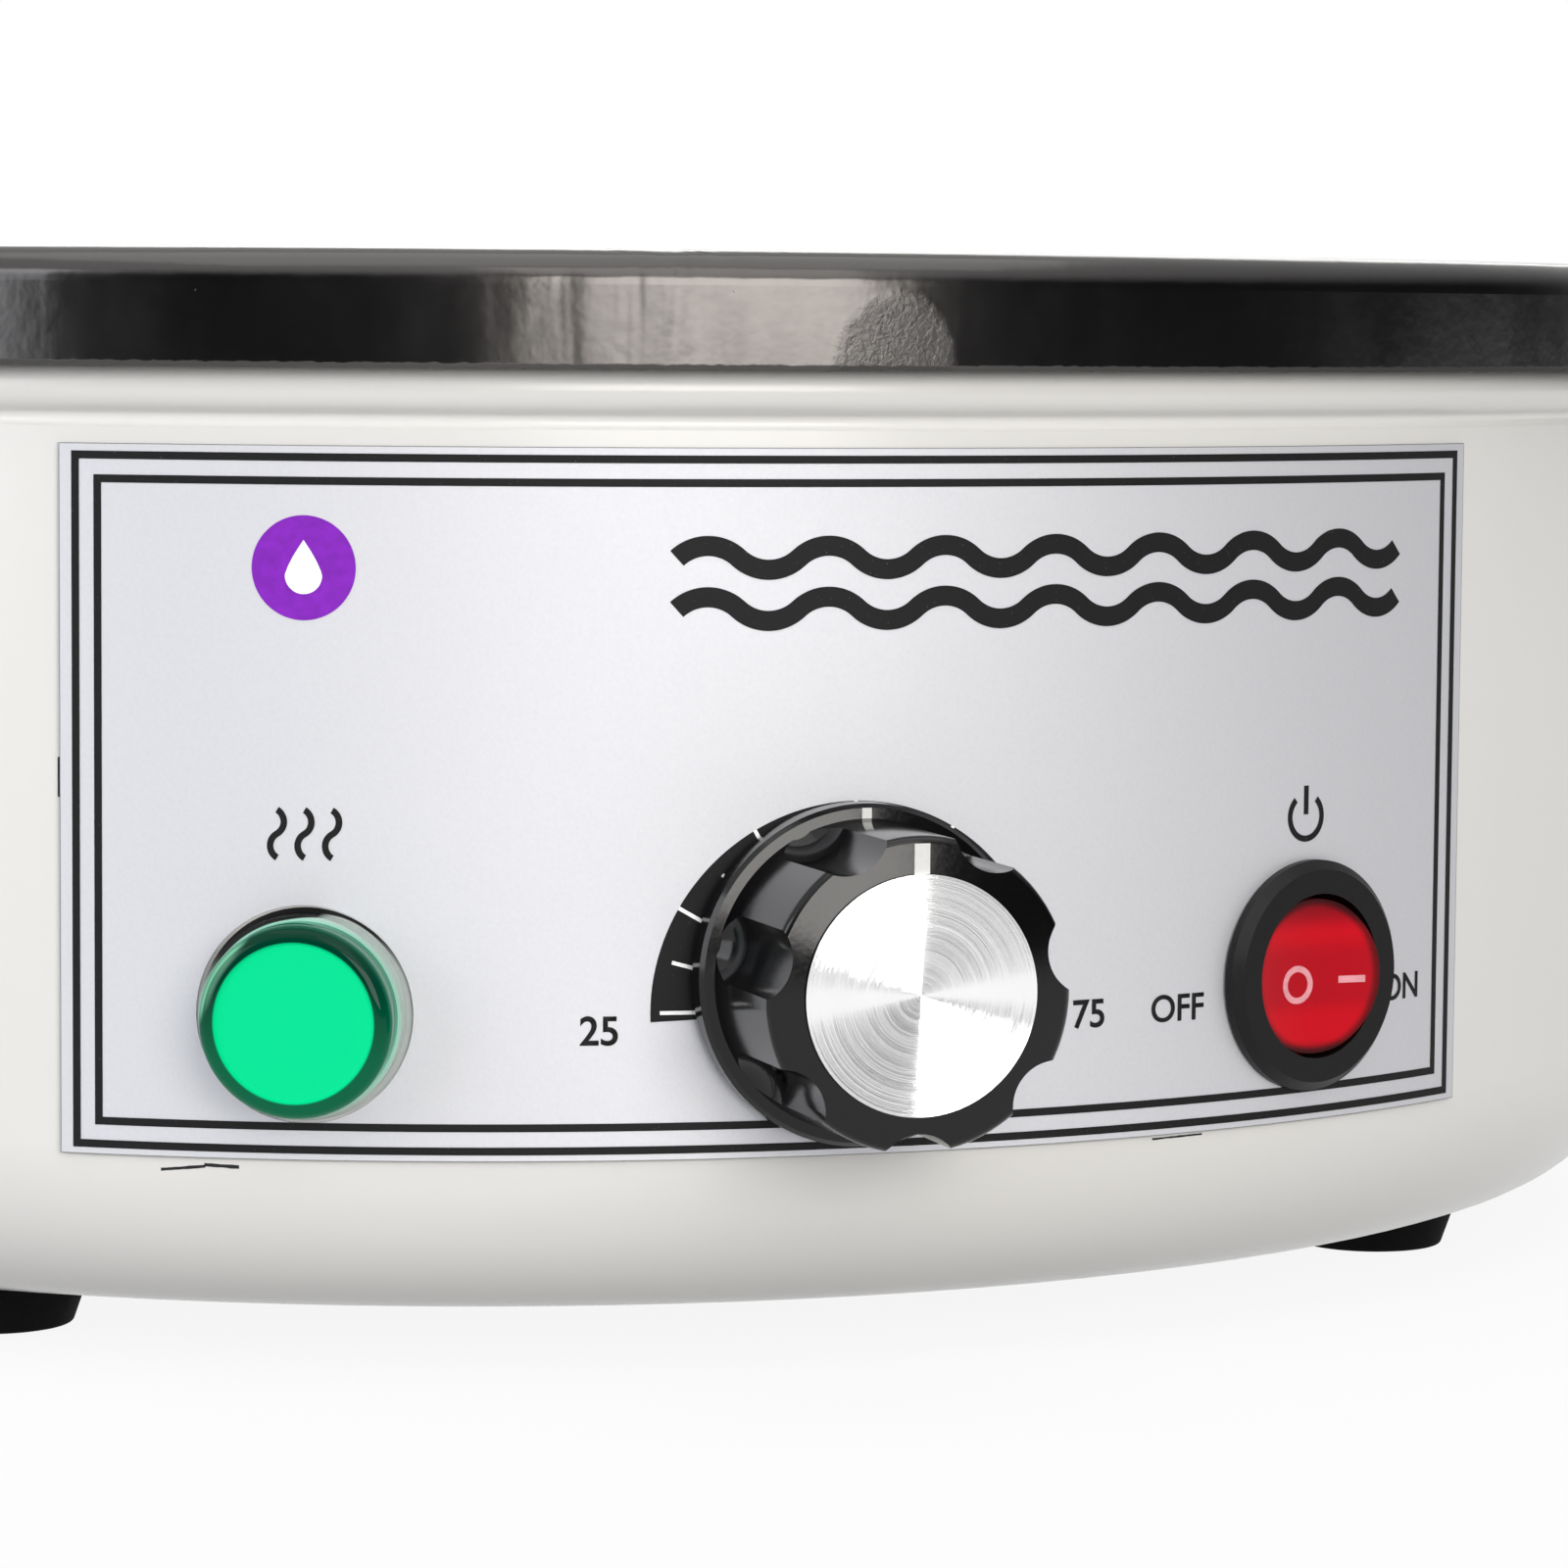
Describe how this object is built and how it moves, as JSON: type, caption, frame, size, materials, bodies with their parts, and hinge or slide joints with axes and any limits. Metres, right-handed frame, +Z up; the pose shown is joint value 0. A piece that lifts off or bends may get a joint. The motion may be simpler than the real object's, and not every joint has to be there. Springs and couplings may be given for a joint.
{
  "type": "tissue flotation bath",
  "caption": "Round heated water bath for floating tissue sections, with a wide-rimmed bowl in a drum-shaped body, a front dial knob, a pilot lamp and a rocker switch.",
  "frame": {"origin": "on the body's upright axis, at bench level under the feet", "axes": "+Z up, -Y out of the front where the knob is, +X to the right of someone facing the front"},
  "size_m": [0.277, 0.2925, 0.1073],
  "materials": {
    "bowl_black": "black coated",
    "shell_white": "gloss enamel",
    "base_black": "satin enamel",
    "label_silver": "satin printed",
    "foot_rubber": "matt",
    "gasket_silicone": "matt",
    "zinc_steel": "zinc plated",
    "plate_steel": "mill finish",
    "heater_mat": "silicone",
    "insulation_wool": "felted fibre",
    "knob_black": "polished",
    "cap_spun": "spun",
    "mark_white": "filled paint",
    "grub_steel": "blackened",
    "turned_brass": "turned",
    "thermostat_case": "moulded",
    "tab_plated": "tinned",
    "copper_tube": "drawn",
    "lens_green": "translucent",
    "collar_pale": "clear",
    "lamp_white": "moulded",
    "lamp_glass": "clear",
    "switch_black": "moulded",
    "rocker_red": "translucent",
    "inlet_black": "moulded",
    "pin_plated": "nickel plated",
    "fuse_glass": "clear",
    "fuse_metal": "plated",
    "block_ivory": "moulded",
    "lead_brown": "sheathed",
    "lead_earth": "sheathed",
    "lead_black": "sheathed",
    "lead_white": "braided sleeve",
    "lead_blue": "sheathed"
  },
  "bodies": {
    "base": {"bowl": "bowl_black", "bowl_gasket": "gasket_silicone", "body_shell": "shell_white", "base_plate": "base_black", "front_label": "label_silver", "foot_front_left": "foot_rubber", "foot_front_right": "foot_rubber", "foot_rear_right": "foot_rubber", "foot_rear_left": "foot_rubber", "foot_screws": "zinc_steel", "foot_nuts": "zinc_steel", "bowl_studs": "zinc_steel", "heater_plate": "heater_mat", "heater_tabs": "tab_plated", "clamp_plate": "plate_steel", "insulation_pad": "insulation_wool", "support_plate": "plate_steel", "stud_nuts": "zinc_steel", "tie_spacers": "zinc_steel", "tie_screws": "zinc_steel", "cutout_body": "thermostat_case", "cutout_screws": "zinc_steel", "cutout_tabs": "tab_plated", "thermostat_bushing": "turned_brass", "thermostat_nut": "turned_brass", "thermostat_body": "thermostat_case", "thermostat_tabs": "tab_plated", "capillary_tube": "copper_tube", "sensor_bulb": "copper_tube", "bulb_clip": "plate_steel", "lamp_lens": "lens_green", "lamp_collar": "collar_pale", "lamp_body": "lamp_white", "lamp_nut": "lamp_white", "lamp_bulb": "lamp_glass", "lamp_tabs": "tab_plated", "switch_housing": "switch_black", "switch_tabs": "tab_plated", "inlet_housing": "inlet_black", "inlet_pins": "pin_plated", "inlet_screws": "zinc_steel", "inlet_nuts": "zinc_steel", "terminal_block": "block_ivory", "earth_stud": "zinc_steel", "earth_nut": "zinc_steel", "mains_leads": "lead_brown", "earth_lead": "lead_earth", "switch_leads": "lead_black", "heater_leads": "lead_white", "lamp_leads": "lead_blue"},
    "knob": {"knob_grip": "knob_black", "knob_cap": "cap_spun", "knob_pointer": "mark_white", "knob_grub_screw": "grub_steel", "thermostat_shaft": "zinc_steel"},
    "rocker": {"switch_rocker": "rocker_red"},
    "drawer": {"fuse_drawer": "inlet_black", "fuse_glass": "fuse_glass", "fuse_caps": "fuse_metal"}
  },
  "joints": [
    {"name": "knob_turn", "type": "hinge", "parent": "base", "child": "knob", "pos_m": [0, -0.134, 0.0393], "axis": [0, 1, 0], "range_deg": [-90, 90]},
    {"name": "rocker_tip", "type": "hinge", "parent": "base", "child": "rocker", "pos_m": [0.05028, -0.12259, 0.0364], "axis": [0, 0, 1], "range_deg": [0, 20]},
    {"name": "drawer_slide", "type": "slide", "parent": "base", "child": "drawer", "axis": [0, 1, 0], "range_m": [0, 0.018]}
  ]
}
